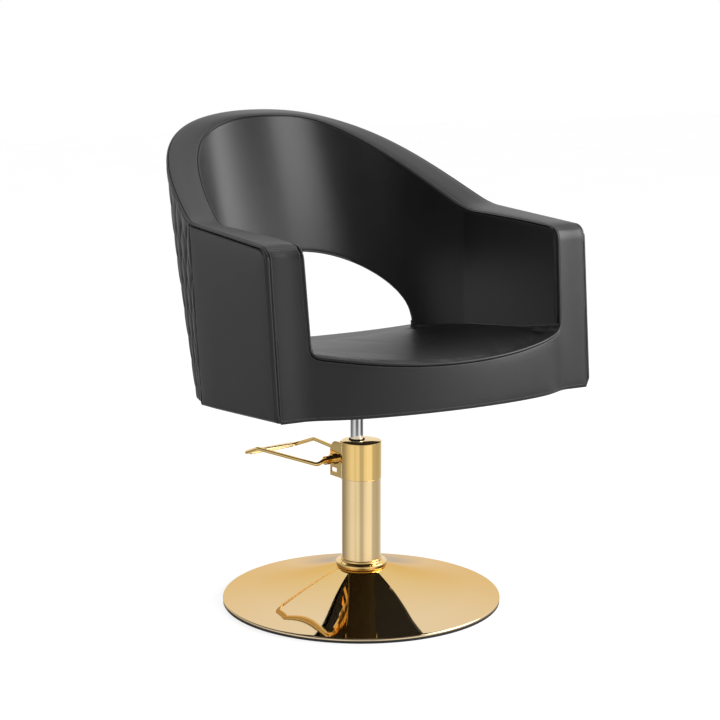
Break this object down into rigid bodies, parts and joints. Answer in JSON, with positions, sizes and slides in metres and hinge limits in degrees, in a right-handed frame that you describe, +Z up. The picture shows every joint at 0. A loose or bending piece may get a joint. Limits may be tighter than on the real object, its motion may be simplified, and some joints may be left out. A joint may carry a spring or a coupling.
{
  "type": "hydraulic hairdressing chair",
  "caption": "Black tub-shaped salon seat with an arched opening under its quilted back, on a gold hydraulic column with a foot pump loop and a round trumpet base.",
  "frame": {"origin": "centre of the round base, on the floor", "axes": "+Z up, +Y to the back of the chair, so the seat faces -Y; +X is to the right as seen from the front"},
  "size_m": [0.677, 0.8476, 0.9559],
  "materials": {
    "gold_polished": "polished gold-coloured plating",
    "gold_pale": "paler polished gold-coloured plating",
    "cast_iron": "rough cast, hidden",
    "zinc_steel": "zinc-plated or machined steel",
    "black_rubber": "matt black rubber",
    "bronze": "sintered bronze",
    "chrome_rod": "hard chrome, ground and polished",
    "black_steel": "black powder coat",
    "plywood": "raw beech plywood, hidden",
    "black_cloth": "thin black non-woven cloth on card",
    "black_leather": "black leatherette with a fine grain and a soft sheen",
    "quilted_leather": "black leatherette, diamond quilted"
  },
  "bodies": {
    "base": {"base_cover": "gold_polished", "base_plate": "cast_iron", "floor_ring": "black_rubber", "flange_ring": "gold_polished", "foot_plug": "zinc_steel", "foot_bolts": "zinc_steel", "pump_tube": "gold_pale", "pump_collar": "gold_polished", "cylinder": "zinc_steel", "pump_head": "cast_iron", "rod_bush": "bronze", "rod_seal": "black_rubber", "pedal_bracket": "gold_polished", "bracket_screws": "gold_polished"},
    "pedal": {"pedal_barrel": "gold_polished", "pedal_rings": "gold_pale", "pedal_loop": "gold_polished", "pedal_sleeve": "gold_pale", "pedal_lever": "zinc_steel"},
    "plunger": {"pump_plunger": "zinc_steel"},
    "lift": {"piston": "zinc_steel", "piston_ring": "black_rubber", "thrust_washer": "bronze"},
    "seat": {"piston_rod": "chrome_rod", "seat_mount": "black_steel", "mount_bolts": "zinc_steel", "tee_nuts": "zinc_steel", "seat_board": "plywood", "dust_cover": "black_cloth", "side_frame_left": "plywood", "side_frame_right": "plywood", "back_shell": "plywood", "arm_left": "black_leather", "arm_right": "black_leather", "side_panel_left": "black_leather", "side_panel_right": "black_leather", "wing_left": "black_leather", "wing_right": "black_leather", "backrest": "black_leather", "rear_rail": "black_leather", "front_apron": "black_leather", "seat_cushion": "black_leather", "quilt_left": "quilted_leather", "quilt_right": "quilted_leather", "quilt_back": "quilted_leather"}
  },
  "joints": [
    {"name": "seat_lift", "type": "slide", "parent": "base", "child": "lift", "axis": [0, 0, 1], "range_m": [-0.05, 0.1]},
    {"name": "seat_swivel", "type": "hinge", "parent": "lift", "child": "seat", "pos_m": [-0.00202, 0.01436, 0.4], "axis": [0, 0, 1], "continuous": true},
    {"name": "pedal_pump", "type": "hinge", "parent": "base", "child": "pedal", "pos_m": [-0.01058, 0.07526, 0.275], "axis": [-0.9903, -0.1392, 0], "range_deg": [0, 12], "stiffness_Nm_per_rad": 3, "springref_deg": -20.05},
    {"name": "plunger_stroke", "type": "slide", "parent": "base", "child": "plunger", "axis": [0, 0, 1], "range_m": [0, 0.014]}
  ],
  "couplings": [
    {"joint": "plunger_stroke", "follows": "pedal_pump", "m_per_rad": 0.064}
  ]
}
